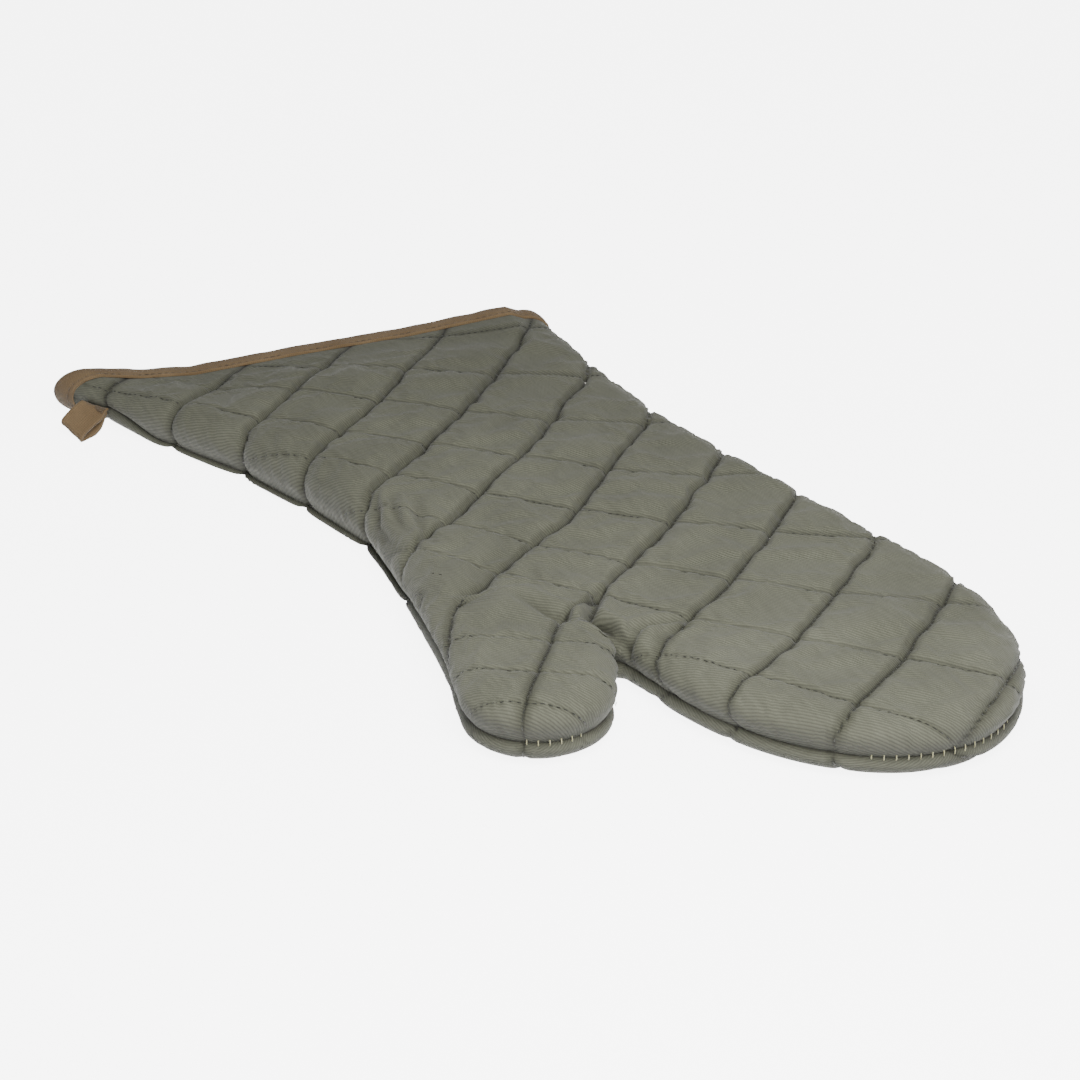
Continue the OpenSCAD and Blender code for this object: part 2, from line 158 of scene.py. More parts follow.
def outline(step):
    """Points of the seam line from the little-finger side of the mouth round to its thumb side, with
    the direction across the cloth and how much that slants, and the indices of the corners."""
    t = np.linspace(0, 1, 400)
    u = t[:, None]
    a = np.radians(90 * t)[:, None]
    lean = np.array([FINGER_LEAN, 0]) * u ** 2
    left, right = [FINGER_CENTRE + np.hstack([half * np.cos(a), FINGER_CAP * np.sin(a)]) - lean
                   for half in (-FINGER_HALF_W, FINGER_HALF_W)]
    fingers = np.vstack([PINKY_SIDE[5] + (left[0] - PINKY_SIDE[5]) * u[:-1], left[:-1],
                         right[::-1][:-1], right[0] + (CROTCH_FINGER - right[0]) * u])
    inner = curve(np.array([CROTCH_THUMB, THUMB_INNER, THUMB_CENTRE - THUMB_R * THUMB_SIDE]), t)
    outer = curve(np.array([THUMB_ROOT, THUMB_OUTER, THUMB_CENTRE + THUMB_R * THUMB_SIDE]), t)
    b = np.radians(180 * t)[:, None]
    cap = THUMB_CENTRE - THUMB_R * np.cos(b) * THUMB_SIDE + THUMB_R * np.sin(b) * THUMB_DIR
    thumb = np.vstack([inner[:-1], cap[:-1], outer[::-1]])
    runs = [curve(PINKY_SIDE, t), fingers, CROTCH_FINGER + (CROTCH_THUMB - CROTCH_FINGER) * u, thumb,
            curve(CUFF_SIDE, 1 - t)]
    # Headings of the cloth's inward direction where it is fixed, at both ends of each run
    mouth, fold, knuckle = [math.degrees(math.atan2(v[1], v[0]))
                            for v in (MOUTH_DIR, FOLD_DIR, KNUCKLE_DIR)]
    fold %= 360
    ends = [(mouth, knuckle), (knuckle, 180 + knuckle), (180 + knuckle, fold),
            (fold - 360, fold - 180), (fold - 180, 180 + mouth)]
    points, dirs, slant, corners = [], [], [], [0]
    for n, run in enumerate(runs):
        s = lengths(run)
        crotch = n == 2
        count = CROTCH_POINTS if crotch else max(2, round(s[-1] / step))
        at = np.linspace(0, s[-1], count + 1)
        p = sampled(at, s, run)
        if crotch:
            angle = ends[2][0] + (ends[2][1] - ends[2][0]) * np.linspace(0, 1, count + 1)
            tilt = 45 * np.linspace(0, 1, count + 1) ** 2
        else:
            tangent = np.gradient(p, axis=0)
            normal = np.unwrap(np.degrees(np.arctan2(-tangent[:, 0], tangent[:, 1])), period=360)
            normal = normal + 360 * round((ends[n][0] - normal[0]) / 360)
            near, far = [np.clip(1 - gap / TILT_REACH, 0, 1) ** 2 for gap in (at, s[-1] - at)]
            last = ends[n][1] + 360 * round((normal[-1] - ends[n][1]) / 360)
            tilt = (ends[n][0] - normal[0]) * near + (last - normal[-1]) * far
            angle = normal + tilt
        keep = slice(0, None) if n == len(runs) - 1 else slice(0, -1)
        points.append(p[keep])
        dirs.append(turned(angle)[keep])
        slant.append(1 / np.cos(np.radians(np.clip(np.abs(tilt), 0, 50)))[keep])
        corners.append(corners[-1] + count)
    return np.vstack(points), np.vstack(dirs), np.concatenate(slant), corners


def slope(rows):
    """Lines passed for each millimetre along x and y."""
    return turned(rows["heading"]) / rows["spacing"]


def lattice(q):
    """How many squares q lies across the two sets of quilting lines, with the lines' slight waver."""
    on_thumb = smooth((q.sum(1) - 175) / 60) * smooth((q[:, 0] - 64) / 16)
    turn = np.radians(THUMB_TURN) * on_thumb
    arm = q - TURN_CENTRE
    q = TURN_CENTRE + arm * np.cos(turn)[:, None] + arm[:, ::-1] * np.outer(np.sin(turn), [-1, 1])
    x, y = np.clip(q[:, 0], -110, 160) / 100, q[:, 1] / 100
    a, b = [rows["first"] + q @ slope(rows) + rows["bend"] @ np.stack([x * x, x * y, y * y])
            for rows in (ROWS_A, ROWS_B)]
    a += 0.022 * waves(q, 11, 60) + 0.010 * waves(q, 12, 22)
    return a, b - THUMB_SHIFT * on_thumb + 0.018 * waves(q, 13, 70)


def lattice_point(a, b):
    """The plan position with these lattice coordinates."""
    slopes = np.linalg.inv(np.array([slope(ROWS_A), slope(ROWS_B)]))
    start = np.array([a - ROWS_A["first"], b - ROWS_B["first"]])
    q = (slopes @ start).T
    for _ in range(25):
        now = lattice(q)
        q = q + 0.7 * (slopes @ np.array([a - now[0], b - now[1]])).T
    return q


def inside_polygon(p, loop):
    x, y = p[:, 0], p[:, 1]
    inside = np.zeros(len(p), bool)
    for (xi, yi), (xj, yj) in zip(loop, loop[-1:] + loop[:-1]):
        if yi != yj:
            inside ^= ((yi > y) != (yj > y)) & (x < (xj - xi) * (y - yi) / (yj - yi) + xi)
    return inside


def between(a, b, step):
    n = max(1, round(np.linalg.norm(b - a) / step))
    return [a + (b - a) * i / n for i in range(1, n)]


def distance_to(points, places):
    """Distance from each place to the nearest of the points."""
    tree = KDTree(len(points))
    for i, (x, y) in enumerate(points):
        tree.insert((x, y, 0), i)
    tree.balance()
    return np.array([tree.find((x, y, 0))[2] for x, y in places])


# How near a point of the lattice may come to the mesh's fixed lines, as a share of its step
CLEARANCE = 0.55


class Plan:
    """A mesh over the mitt's plan: rounds rings in from the seam line, then triangles whose edges
    follow the quilting lines. Every surface of a panel is this mesh at another depth."""

    def __init__(self, step, rounds):
        p, d, slant, corners = outline(step)
        n = len(p)
        theta = np.linspace(0, math.pi / 2, rounds + 1)
        rings = [p + d * (slant * EDGE_R * (1 - math.cos(t)))[:, None] for t in theta]
        inner = rings[-1]
        mouth = between(inner[-1], inner[0], step)
        loop = list(inner) + mouth
        # The knuckle line and the thumb's root split the mesh between the bodies
        splits = [(first, last, between(inner[first], inner[last], step))
                  for first, last in (corners[1:3], corners[3:5])]
        fixed = loop + splits[0][2] + splits[1][2]
        m = round(CELL / step)
        grid = np.arange(-4 * m, 13 * m) / m
        aa, bb = [g.ravel() for g in np.meshgrid(grid, grid)]
        near = lattice_point(aa, bb)
        near = near[np.all(np.abs(np.subtract(lattice(near), (aa, bb))) < 0.01, axis=0)]
        near = near[inside_polygon(near, loop)]
        near = near[distance_to(fixed, near) > CLEARANCE * step]
        edges, start = [], len(loop)
        for first, last, middle in splits:
            chain = [first] + list(range(start, start + len(middle))) + [last]
            edges += list(zip(chain, chain[1:]))
            start += len(middle)
        verts = [Vector((float(x), float(y))) for x, y in [*fixed, *near]]
        out = delaunay_2d_cdt(verts, edges, [list(range(len(loop)))[::-1]], 1, 1e-6)
        co = np.array([[v[0], v[1]] for v in out[0]])
        index = {o: new for new, origins in enumerate(out[3]) for o in origins if o < n}
        first_inner = rounds * n
        ring_index = [np.arange(r * n, r * n + n) for r in range(rounds)]
        ring_index.append(np.array([first_inner + index[i] for i in range(n)]))
        self.quads = np.vstack([np.stack([a[:-1], b[:-1], b[1:], a[1:]], 1)
                                for a, b in zip(ring_index, ring_index[1:])])
        column_body = np.zeros(n - 1, int)
        column_body[corners[1]:corners[2]] = 1
        column_body[corners[3]:corners[4]] = 2
        self.quad_body = np.tile(column_body, rounds)
        tris = np.array(out[2])
        c = co[tris].mean(1)
        self.tris = tris + first_inner
        self.tri_body = np.where(((c - CROTCH_FINGER) @ KNUCKLE_NORMAL > 0) & (c[:, 0] < 71), 1,
                                 np.where((c - CROTCH_THUMB) @ FOLD_NORMAL > 0, 2, 0))
        area = np.cross(co[tris[:, 1]] - co[tris[:, 0]], co[tris[:, 2]] - co[tris[:, 0]])
        self.tris[area < 0] = self.tris[area < 0][:, ::-1]
        self.p = np.vstack(rings[:-1] + [co])
        total = len(self.p)
        self.theta = np.full(total, math.pi / 2)
        self.anchor = self.p.copy()
        self.dir = np.zeros((total, 2))
        self.slant = np.ones(total)
        self.fan = np.zeros(total, bool)
        for at, angle in zip(ring_index[:-1], theta):
            self.theta[at], self.anchor[at], self.dir[at], self.slant[at] = angle, inner, d, slant
            self.fan[at[corners[2]:corners[3] + 1]] = True
        arc = (EDGE_R + TOP_Z - SEAM_Z) / 2
        self.flat = self.anchor - self.dir * (arc * (math.pi / 2 - self.theta))[:, None]
        away = distance_to(p, self.anchor)
        self.from_seam = np.where(self.theta < 1.57, arc * self.theta, arc * math.pi / 2 + away - EDGE_R)
        self.mouth = (self.p - MOUTH_A) @ MOUTH_IN
        self.outline, self.corners, self.columns = p, corners, d

    def of_body(self, body):
        """The quads and triangles of one body."""
        return self.quads[self.quad_body == body], self.tris[self.tri_body == body]


# ---------------- shape of the padding
# Height of the cuff's mouth across its width, from the little-finger side to the thumb side
MOUTH_PROFILE = np.array([[0, 15], [18, 23], [65, 19], [115, 17], [165, 14], [190, 16],
                          [205, 19], [225, 21]], float)


def top_height(p):
    """Height of the upper panel's face over a point in plan."""
    mouth = (p - MOUTH_A) @ MOUTH_IN
    across = (p - MOUTH_A) @ MOUTH_DIR
    t = np.clip(across / MOUTH_W, 0, 1)
    edge = np.interp(t * MOUTH_PROFILE[-1, 0], MOUTH_PROFILE[:, 0], MOUTH_PROFILE[:, 1])
    body = TOP_Z + 0.7 * waves(p, 21, 150) - 2.0 * smooth((p[:, 1] - 175) / 90)
    body = body - 1.2 * smooth((20 - p[:, 0]) / 70) * smooth((190 - p[:, 1]) / 120)
    body = body - 3.6 * np.exp(-((across - 168) / 20) ** 2) * smooth(1 - mouth / 170)
    return edge + (body - edge) * smooth((mouth - 4) / 62)


def seam_height(anchor):
    """Height of the side seam, which the padding pulls down along the cuff's thumb side."""
    low = smooth((anchor[:, 1] + 182) / 34) * smooth((104 - anchor[:, 1]) / 80) * (anchor[:, 0] > 40)
    return SEAM_Z - 8.0 * low - 1.6 * smooth((anchor[:, 1] - 110) / 40)


def fullness(mouth):
    """0 where the layers are sewn flat at the mouth, 1 where the padding is full."""
    return smooth((mouth - 9) / 26)


def base(anchor, theta, mouth, side):
    """Height of a panel's outer surface, before quilting."""
    face = top_height(anchor) if side > 0 else 1.3 * (1 - fullness(mouth))
    seam = seam_height(anchor)
    return seam + (face - seam) * np.sin(theta)


def push(plan, side):
    """Direction in which a panel's surface moves out of the padding."""
    h = -plan.dir * (plan.slant * np.cos(plan.theta))[:, None]
    return np.column_stack([h, side * np.sin(plan.theta)])


# Folds in the upper panel: points in plan, depth and half width
FOLDS = [
    ([(56, 108), (66, 119), (73, 127), (70, 136), (71, 146)], 6.0, 2.4),
    ([(87, 98), (83, 114), (78, 130)], 2.6, 3.4),
    ([(76, 152), (62, 143), (40, 146)], 2.6, 2.8),
    ([(66, 160), (56, 151), (46, 152)], 1.8, 2.2),
    ([(90, -12), (99, 8), (102, 28)], 2.8, 2.6),
    ([(84, -8), (92, 10), (96, 30)], 2.2, 2.6),
    ([(78, 4), (87, 22), (90, 40)], 1.6, 3.0),
    ([(70, 60), (86, 70), (102, 92)], 0.9, 5.0),
    ([(-20, -40), (2, -44), (20, -36)], 0.6, 5.0),
]


def fold_depth(p, spread=1.0):
    out = np.zeros(len(p))
    for points, deep, wide in FOLDS:
        wide = wide * spread
        points = np.array(points, float)
        t = np.linspace(0, 1, 40)
        line = curve(points, t)
        d = np.linalg.norm(p[:, None] - line[None], axis=2)
        nearest = np.argmin(d, axis=1)
        taper = np.sin(math.pi * np.clip(0.12 + 0.76 * t, 0, 1))[nearest]
        d = d[np.arange(len(p)), nearest]
        out += deep * taper * (np.exp(-(d / wide) ** 2) - 0.35 * np.exp(-((d - 1.9 * wide) / wide) ** 2))
    return out


# Depth of the valleys along the first set of lines, what is added to it over the fingers, on the
# thumb, along the cuff's rolled edge and along the little finger's, and the second set's depth
VALLEY, ON_FINGERS, ON_THUMB, ON_ROLL, ON_FAR_EDGE, CROSS_VALLEY = 2.5, -1.5, -1.4, 3.4, -0.9, 0.7
# Depth and half width of the dip that the stitching of each set pulls
DIP_A, DIP_B = (1.25, 1.25), (0.42, 1.2)


def relief(flat, from_seam, mouth, side):
    """How far the quilted cloth stands out of the base surface, and the distance to each set's lines."""
    a, b = lattice(flat)
    ta, tb = a - np.floor(a), b - np.floor(b)
    da, db = np.minimum(ta, 1 - ta) * CELL, np.minimum(tb, 1 - tb) * CELL
    far = smooth((flat[:, 1] - 80) / 80)
    thumb = smooth(((flat - CROTCH_THUMB) @ FOLD_NORMAL) / 30) * (flat[:, 0] > 60)
    cuff_edge = smooth((70 - from_seam) / 60) * smooth((50 - flat[:, 1]) / 60) * (flat[:, 0] > 40)
    far_edge = smooth((26 - from_seam) / 20) * (flat[:, 0] < 20)
    deep = VALLEY + ON_FINGERS * far + ON_THUMB * thumb + ON_ROLL * cuff_edge
    deep += ON_FAR_EDGE * far_edge * (1 - far)
    deep = deep * (1 + 0.2 * waves(flat, 31, 60))
    roll_a = 0.45 * np.power(np.maximum(0, 1 - np.abs(2 * ta - 1) ** 2.2), 0.6)
    roll_a += 0.55 * np.power(np.maximum(0, 1 - np.abs(2 * ta - 1) ** 8), 0.55)
    roll_b = np.power(np.maximum(0, 1 - np.abs(2 * tb - 1) ** 7), 0.6)
    each = np.sin(np.floor(a) * 12.9898 + np.floor(b) * 78.233) * 43758.5453
    each = each - np.floor(each) - 0.5
    h = deep * (roll_a - 1) + (CROSS_VALLEY + 0.1 * far) * (roll_b - 1) + 0.6 * each * roll_a * roll_b
    for distance, (dip, wide) in ((da, DIP_A), (db, DIP_B)):
        h -= dip * np.exp(-(distance / wide) ** 2)
    # Puckers that run away from the stitching, and the cloth's own unevenness
    pucker = waves(flat, 41, 9, 14) * np.exp(-da / 5.0) * (0.30 - 0.14 * far)
    pucker += waves(flat, 42, 7, 14) * np.exp(-db / 4.0) * 0.10
    pucker += 0.22 * waves(flat, 43, 30) * roll_a
    h += pucker * np.clip(da / 1.2, 0.25, 1)
    calm = 0.12 + 0.88 * smooth((mouth - 9) / 34)
    if side > 0:
        h -= fold_depth(flat)
    h = np.maximum(h, -5.0 + 0.15 * h) * calm
    if side < 0:
        h = np.minimum(h * 0.6, 0)
    # The pinch of the side seam, and the padding that bulges beside it
    pinch = 3.4 * np.exp(-(from_seam / 3.0) ** 1.6)
    pinch -= (1.4 - 1.2 * far_edge if side > 0 else 0.2) * np.exp(-((from_seam - 8) / 4.5) ** 2)
    pinch += 1.2 * (1 - roll_a) * np.exp(-from_seam / 10) * (1 - 0.6 * far_edge) * (1 - 0.6 * far)
    h = h * (0.3 + 0.7 * smooth(from_seam / 13)) - pinch * calm
    return h, da, db


def layer_depths(mouth):
    """How deep the cloth, batting and lining end below a panel's outer surface."""
    return np.outer(np.cumsum([CLOTH, BATTING, LINING]), 0.5 + 0.5 * fullness(mouth))


# ---------------- meshes
ROW_ORIGIN = np.array([MIDDLE[0], MIDDLE[1], 0])


def to_row(co):
    """Plan millimetres as metres of the row frame."""
    return (np.asarray(co, float) - ROW_ORIGIN) / 1000


def new_object(name, co, faces, materials, normals=None, attributes=(), slots=None):
    """An object from points in plan millimetres. faces is a list of index arrays, one for each size
    of face."""
    mesh = bpy.data.meshes.new(name)
    co = to_row(co)
    loops = np.concatenate([f.ravel() for f in faces]).astype(np.int32)
    sizes = np.concatenate([np.full(len(f), f.shape[1]) for f in faces])
    starts = np.concatenate([[0], np.cumsum(sizes)[:-1]]).astype(np.int32)
    mesh.vertices.add(len(co))
    mesh.vertices.foreach_set("co", co.ravel().astype(np.float32))
    mesh.loops.add(len(loops))
    mesh.loops.foreach_set("vertex_index", loops)
    mesh.polygons.add(len(sizes))
    mesh.polygons.foreach_set("loop_start", starts)
    mesh.polygons.foreach_set("use_smooth", np.full(len(sizes), True))
    for m in materials:
        mesh.materials.append(m)
    if slots is not None:
        mesh.polygons.foreach_set("material_index", slots.astype(np.int32))
    mesh.update(calc_edges=True)
    mesh.validate()
    for key, values in attributes:
        kind, field = ("FLOAT_VECTOR", "vector") if values.ndim == 2 else ("FLOAT", "value")
        layer = mesh.attributes.new(key, kind, "POINT")
        layer.data.foreach_set(field, values.astype(np.float32).ravel())
    if normals is not None:
        mesh.normals_split_custom_set_from_vertices(normals.astype(np.float32))
    obj = bpy.data.objects.new(name, mesh)
    bpy.context.scene.collection.objects.link(obj)
    return obj


def vertex_normals(co, faces):
    out = np.zeros_like(co)
    for f in faces:
        for i in range(1, f.shape[1] - 1):
            a, b, c = co[f[:, 0]], co[f[:, i]], co[f[:, i + 1]]
            n = np.cross(b - a, c - a)
            for k in (0, i, i + 1):
                np.add.at(out, f[:, k], n)
    return unit_rows(out)


BODIES = ["palm", "fingers", "thumb"]


def turned_over(faces, side):
    """Faces for a panel's outer surface, which looks up (side 1) or down (side -1)."""
    return [f if side > 0 else f[:, ::-1] for f in faces]


def directed_edges(faces):
    return np.vstack([np.stack([f[:, i], f[:, (i + 1) % f.shape[1]]], 1)
                      for f in faces for i in range(f.shape[1])])


def closed_layer(name, plan, side, body, outer, inner, material, normals_out, normals_in, extra):
    """The solid between two surfaces of one plan mesh, for one body."""
    quads, tris = turned_over(plan.of_body(body), side)
    directed = directed_edges((quads, tris))
    n = len(plan.p)
    key, back = directed[:, 0] * n + directed[:, 1], directed[:, 1] * n + directed[:, 0]
    rim = directed[~np.isin(key, back)]
    walls = np.stack([rim[:, 1], rim[:, 0], rim[:, 0] + n, rim[:, 1] + n], 1)
    faces4 = np.vstack([quads, quads[:, ::-1] + n, walls])
    faces3 = np.vstack([tris, tris[:, ::-1] + n])
    used, flat = np.unique(np.concatenate([faces4.ravel(), faces3.ravel()]), return_inverse=True)
    faces4 = flat[:faces4.size].reshape(-1, 4)
    faces3 = flat[faces4.size:].reshape(-1, 3)
    co = np.vstack([outer, inner])[used]
    normals = np.vstack([normals_out, normals_in])[used]
    attributes = [(k, np.concatenate([v, v])[used]) for k, v in extra]
    return new_object(name, co, [faces4, faces3], [material], normals, attributes)


def attach(obj, body):
    """Parents a palm piece to the palm; a fingers or thumb piece only has its transform baked into its
    mesh.
    """
    if body == 0:
        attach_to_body(obj, "palm")
    elif body == 1:
        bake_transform(obj)
    else:
        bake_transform(obj)


# ---------------- materials
class Nodes:
    """Short hand for building one node material."""

    def __init__(self, name, roughness, sheen, specular):
        self.material = bpy.data.materials.new(name)
        self.material.use_nodes = True
        self.tree = self.material.node_tree
        self.shader = self.tree.nodes["Principled BSDF"]
        for key, value in (("Roughness", roughness), ("Specular IOR Level", specular),
                           ("Sheen Weight", sheen), ("Sheen Roughness", 0.5)):
            self.shader.inputs[key].default_value = value

    def link(self, a, b):
        self.tree.links.new(a, b)

    def node(self, kind, **values):
        """A new node with these values on its inputs, whose names have _ for a space."""
        node = self.tree.nodes.new(kind)
        for key, value in values.items():
            node.inputs[key.replace("_", " ")].default_value = value
        return node

    def math(self, operation, a, b):
        node = self.node("ShaderNodeMath")
        node.operation = operation
        for socket, v in zip(node.inputs, (a, b)):
            if isinstance(v, (int, float)):
                socket.default_value = v
            else:
                self.link(v, socket)
        return node.outputs[0]

    def blend(self, *shares):
        """Sum of values, each times its share."""
        total = None
        for value, share in shares:
            part = self.math("MULTIPLY", value, share)
            total = part if total is None else self.math("ADD", total, part)
        return total

    def attribute(self, name):
        node = self.node("ShaderNodeAttribute")
        node.attribute_name = name
        return node.outputs

    def place(self):
        return self.node("ShaderNodeTexCoord").outputs["Object"]

    def mapped(self, vector, angle, scale=(1, 1, 1)):
        node = self.node("ShaderNodeMapping", Rotation=(0, 0, math.radians(angle)), Scale=scale)
        self.link(vector, node.inputs["Vector"])
        return node.outputs[0]

    def noise(self, vector, scale, detail=3.0, roughness=0.5):
        node = self.node("ShaderNodeTexNoise", Scale=scale, Detail=detail, Roughness=roughness)
        self.link(vector, node.inputs["Vector"])
        return node.outputs["Fac"]

    def ribs(self, vector, pitch, distortion=0.0):
        """Bands along the vector's first axis, one every pitch metres."""
        node = self.node("ShaderNodeTexWave", Scale=2 * math.pi / (20 * pitch), Distortion=distortion,
                         Detail=2.0, Detail_Scale=1.5)
        self.link(vector, node.inputs["Vector"])
        return node.outputs["Fac"]

    def ramp(self, fac, stops):
        node = self.node("ShaderNodeValToRGB")
        ramp = node.color_ramp
        while len(ramp.elements) < len(stops):
            ramp.elements.new(0.5)
        for element, (at, colour) in zip(ramp.elements, stops):
            element.position = at
            element.color = (*colour, 1)
        self.link(fac, node.inputs["Fac"])
        return node.outputs["Color"]

    def times(self, a, b):
        """One colour multiplied by another."""
        node = self.node("ShaderNodeMix")
        node.data_type = "RGBA"
        node.blend_type = "MULTIPLY"
        node.inputs[0].default_value = 1.0
        self.link(a, node.inputs[6])
        self.link(b, node.inputs[7])
        return node.outputs[2]

    def finish(self, colour, height, distance, strength):
        """The material, with this colour and a bump of this distance in metres."""
        self.link(colour, self.shader.inputs["Base Color"])
        bump = self.node("ShaderNodeBump", Strength=strength, Distance=distance)
        self.link(height, bump.inputs["Height"])
        self.link(bump.outputs["Normal"], self.shader.inputs["Normal"])
        return self.material


def srgb(r, g, b):
    return tuple((v / 255 / 12.92) if v / 255 <= 0.04045 else ((v / 255 + 0.055) / 1.055) ** 2.4
                 for v in (r, g, b))


def twill(name):
    """Cotton twill: slanting ribs of yarn, a little slubby and faded, with painted shade in the stitched
    lines.
    """
    n = Nodes(name, 0.88, 0.12, 0.25)
    flat = n.attribute("cloth")["Vector"]
    ribs = n.ribs(n.mapped(flat, RIB_ANGLE), RIB_PITCH, 0.6)
    yarn = n.ribs(n.mapped(flat, 30), 0.0006, 0.5)
    weave = n.blend((ribs, 0.75), (n.math("MULTIPLY", yarn, ribs), 0.35), (n.noise(flat, 1500, 2), 0.3))
    slub = n.noise(n.mapped(flat, RIB_ANGLE, (2.2, 0.35, 1)), 260)
    tone = n.ramp(n.blend((n.noise(flat, 24), 0.55), (slub, 0.45)),
                  [(0.30, srgb(96, 97, 84)), (0.5, srgb(106, 107, 93)), (0.72, srgb(115, 116, 102))])
    shade = n.ramp(weave, [(0.15, (0.74, 0.74, 0.72)), (0.9, (1.06, 1.06, 1.05))])
    # Painted shade: the cloth's colour is darkened down in the quilting creases, the seam's groove and the
    # folds.
    dark = n.ramp(n.attribute("painted_crease_shade")["Fac"],
                  [(0.0, (0.10, 0.10, 0.08)), (0.3, (0.62, 0.62, 0.60)), (1.0, (1, 1, 1))])
    return n.finish(n.times(n.times(tone, shade), dark), weave, 0.00018, 0.7)


def plain_weave(name, colours, pitch, distance):
    n = Nodes(name, 0.92, 0.1, 0.25)
    flat = n.attribute("cloth")["Vector"]
    warp, weft = [n.ribs(n.mapped(flat, angle), pitch, 0.5) for angle in (0, 90)]
    weave = n.blend((n.math("MAXIMUM", warp, weft), 0.8), (n.noise(flat, 1600, 2), 0.3))
    tone = n.ramp(n.noise(flat, 60, 4), [(0.3, colours[0]), (0.7, colours[1])])
    shade = n.ramp(weave, [(0.3, (0.72, 0.72, 0.72)), (0.95, (1.04, 1.04, 1.04))])
    return n.finish(n.times(tone, shade), weave, distance, 0.9)


def fuzzy(name):
    n = Nodes(name, 1.0, 0.3, 0.15)
    at = n.place()
    tone = n.ramp(n.noise(at, 120, 4), [(0.3, srgb(222, 218, 206)), (0.7, srgb(240, 238, 230))])
    return n.finish(tone, n.noise(at, 900, 6, 0.7), 0.0008, 1.0)


def thread(name, colours):
    n = Nodes(name, 0.6, 0.2, 0.4)
    at = n.place()
    twist = n.ribs(n.mapped(at, 38), 0.0004, 0.2)
    tone = n.ramp(n.blend((twist, 0.5), (n.noise(at, 700, 2), 0.5)),
                  [(0.25, colours[0]), (0.75, colours[1])])
    return n.finish(tone, twist, 0.0001, 0.8)


# Slant of the twill's ribs in degrees, and their pitch in metres
RIB_ANGLE, RIB_PITCH = -36, 0.0011
TWILL = twill("sage_twill")
TAPE = plain_weave("tan_tape", (srgb(120, 99, 71), srgb(138, 116, 86)), 0.0009, 0.0002)
LINING_CLOTH = plain_weave("undyed_lining", (srgb(206, 200, 184), srgb(222, 217, 203)), 0.0008, 0.00015)
BATTING_FLUFF = fuzzy("cotton_batting")
SEAM_YARN = thread("pale_yellow_thread", (srgb(196, 190, 138), srgb(226, 222, 176)))
QUILT_YARN = thread("olive_thread", (srgb(30, 31, 22), srgb(48, 50, 37)))
TAPE_YARN = thread("tan_thread", (srgb(92, 76, 54), srgb(108, 90, 65)))
LINT = thread("white_lint", (srgb(205, 205, 195), srgb(235, 235, 228)))

# ---------------- the two panels
FINE = Plan(1.9, 11)
COARSE = Plan(4.6, 6)
# Clearance under the lower cloth, and between the batting and the lining
TABLE_GAP, LINING_GAP = 0.02, 0.05


def surface(plan, side):
    """A panel's base points, the way out of its padding, and what relief() says of them."""
    co = np.column_stack([plan.p, base(plan.anchor, plan.theta, plan.mouth, side)])
    return co, push(plan, side), *relief(plan.flat, plan.from_seam, plan.mouth, side)


# Cloth simulation of the upper panel: its frames, pressure, growth, and the most that a point may
# move in all and inwards
SIM_FRAMES, SIM_PRESSURE, SIM_GROWTH, SIM_REACH, SIM_DIP = 20, 4.0, 0.03, 2.2, 0.5
HOLD_LEVELS = 10


def inflated(plan, co, faces, da, db):
    """The panel's cloth after it is let go between the quilting lines, under the padding's pressure."""
    held = np.maximum.reduce([np.exp(-(np.maximum(da - 0.5, 0) / 1.2) ** 2),
                              np.exp(-(np.maximum(db - 0.4, 0) / 1.0) ** 2),
                              smooth((5.5 - plan.from_seam) / 2.5), smooth((16 - plan.mouth) / 4)])
    obj = new_object("panel_simulation", co, faces, [])
    group = obj.vertex_groups.new(name="held")
    for level in range(1, HOLD_LEVELS + 1):
        chosen = np.where(np.round(held * HOLD_LEVELS).astype(int) == level)[0]
        group.add([int(i) for i in chosen], level / HOLD_LEVELS, "REPLACE")
    modifier = obj.modifiers.new("cloth", "CLOTH")
    cloth = modifier.settings
    cloth.quality, cloth.mass, cloth.air_damping = 5, 0.15, 2.0
    cloth.tension_stiffness = cloth.compression_stiffness = 12
    cloth.shear_stiffness, cloth.bending_stiffness = 4, 0.25
    cloth.vertex_group_mass = "held"
    cloth.use_pressure, cloth.uniform_pressure_force = True, SIM_PRESSURE
    cloth.shrink_min = -SIM_GROWTH
    cloth.effector_weights.gravity = 0
    modifier.collision_settings.use_collision = False
    modifier.point_cache.frame_start, modifier.point_cache.frame_end = 1, SIM_FRAMES
    for number in range(1, SIM_FRAMES + 1):
        bpy.context.scene.frame_set(number)
    mesh = obj.evaluated_get(bpy.context.evaluated_depsgraph_get()).to_mesh()
    moved = np.zeros(len(mesh.vertices) * 3)
    mesh.vertices.foreach_get("co", moved)
    moved = moved.reshape(-1, 3) * 1000 + ROW_ORIGIN
    bpy.data.objects.remove(obj)
    bpy.context.scene.frame_set(1)
    shift = moved - co
    far = np.linalg.norm(shift, axis=1)
    shift *= (np.minimum(far, SIM_REACH) / np.maximum(far, 1e-9))[:, None]
    out = push(plan, 1)
    inward = np.minimum(np.sum(shift * out, axis=1) + SIM_DIP, 0)
    return co + shift - out * inward[:, None]


def cloth_coordinates(plan, side):
    """Where each point lies in the cloth before it was sewn, in metres, for the weave."""
    return np.column_stack([plan.flat / 1000, np.full(len(plan.p), 0.1 * side)])


